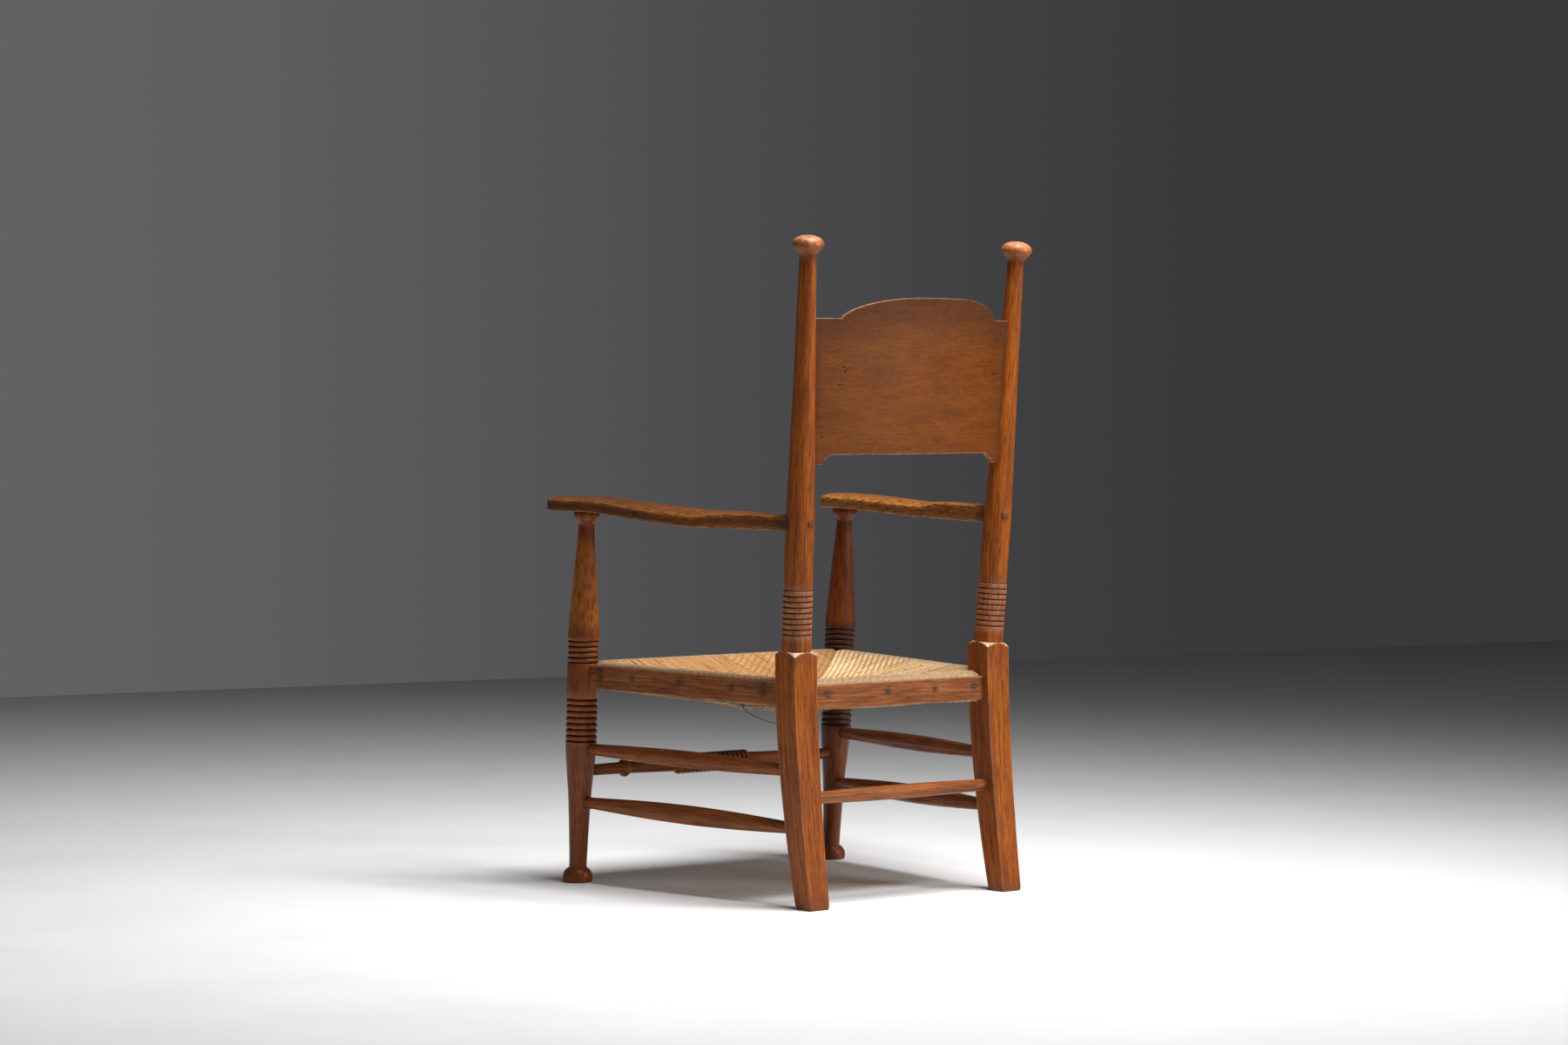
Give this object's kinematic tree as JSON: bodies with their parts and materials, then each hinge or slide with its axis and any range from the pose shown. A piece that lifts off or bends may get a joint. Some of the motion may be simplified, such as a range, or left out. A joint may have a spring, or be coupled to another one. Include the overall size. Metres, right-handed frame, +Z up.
{
  "type": "rush seat armchair",
  "caption": "Tall armchair with turned posts, bowed back panel, shaped flat arms, square swept back legs, swelled stretchers and a woven rush seat edged with wooden strips.",
  "frame": {"origin": "on the floor under the middle of the chair", "axes": "+Z up, -Y the way the sitter faces, +X to the sitter's left"},
  "size_m": [0.6984, 0.5892, 1.1001],
  "materials": {
    "oak_posts": "satin",
    "oak_arms": "satin",
    "oak_panel": "satin",
    "oak_strips": "worn satin",
    "rail_wood": "bare",
    "rush": "twisted rush",
    "twine": "twisted fibre",
    "iron": "dull"
  },
  "bodies": {
    "root": {"arm_left": "oak_arms", "arm_plug_left": "oak_arms", "arm_plug_right": "oak_arms", "arm_right": "oak_arms", "arm_screw_left": "iron", "arm_screw_right": "iron", "back_panel": "oak_panel", "edge_strip_front": "oak_strips", "edge_strip_left": "oak_strips", "edge_strip_rear": "oak_strips", "edge_strip_right": "oak_strips", "front_post_left": "oak_posts", "front_post_right": "oak_posts", "front_stretcher": "oak_posts", "nail_front_1": "iron", "nail_front_2": "iron", "nail_front_3": "iron", "nail_front_4": "iron", "nail_left_1": "iron", "nail_left_2": "iron", "nail_left_3": "iron", "nail_left_4": "iron", "nail_left_5": "iron", "nail_left_6": "iron", "nail_left_7": "iron", "nail_rear_1": "iron", "nail_rear_2": "iron", "nail_rear_3": "iron", "nail_rear_4": "iron", "nail_right_1": "iron", "nail_right_2": "iron", "nail_right_3": "iron", "nail_right_4": "iron", "nail_right_5": "iron", "nail_right_6": "iron", "nail_right_7": "iron", "panel_pin_left": "iron", "panel_pin_right": "iron", "rear_post_left": "oak_posts", "rear_post_right": "oak_posts", "rear_stretcher": "oak_posts", "rush_seat": "rush", "rush_twine": "twine", "seat_rail_front": "rail_wood", "seat_rail_left": "rail_wood", "seat_rail_rear": "rail_wood", "seat_rail_right": "rail_wood", "side_stretcher_lower_left": "oak_posts", "side_stretcher_lower_right": "oak_posts", "side_stretcher_upper_left": "oak_posts", "side_stretcher_upper_right": "oak_posts"}
  },
  "joints": []
}
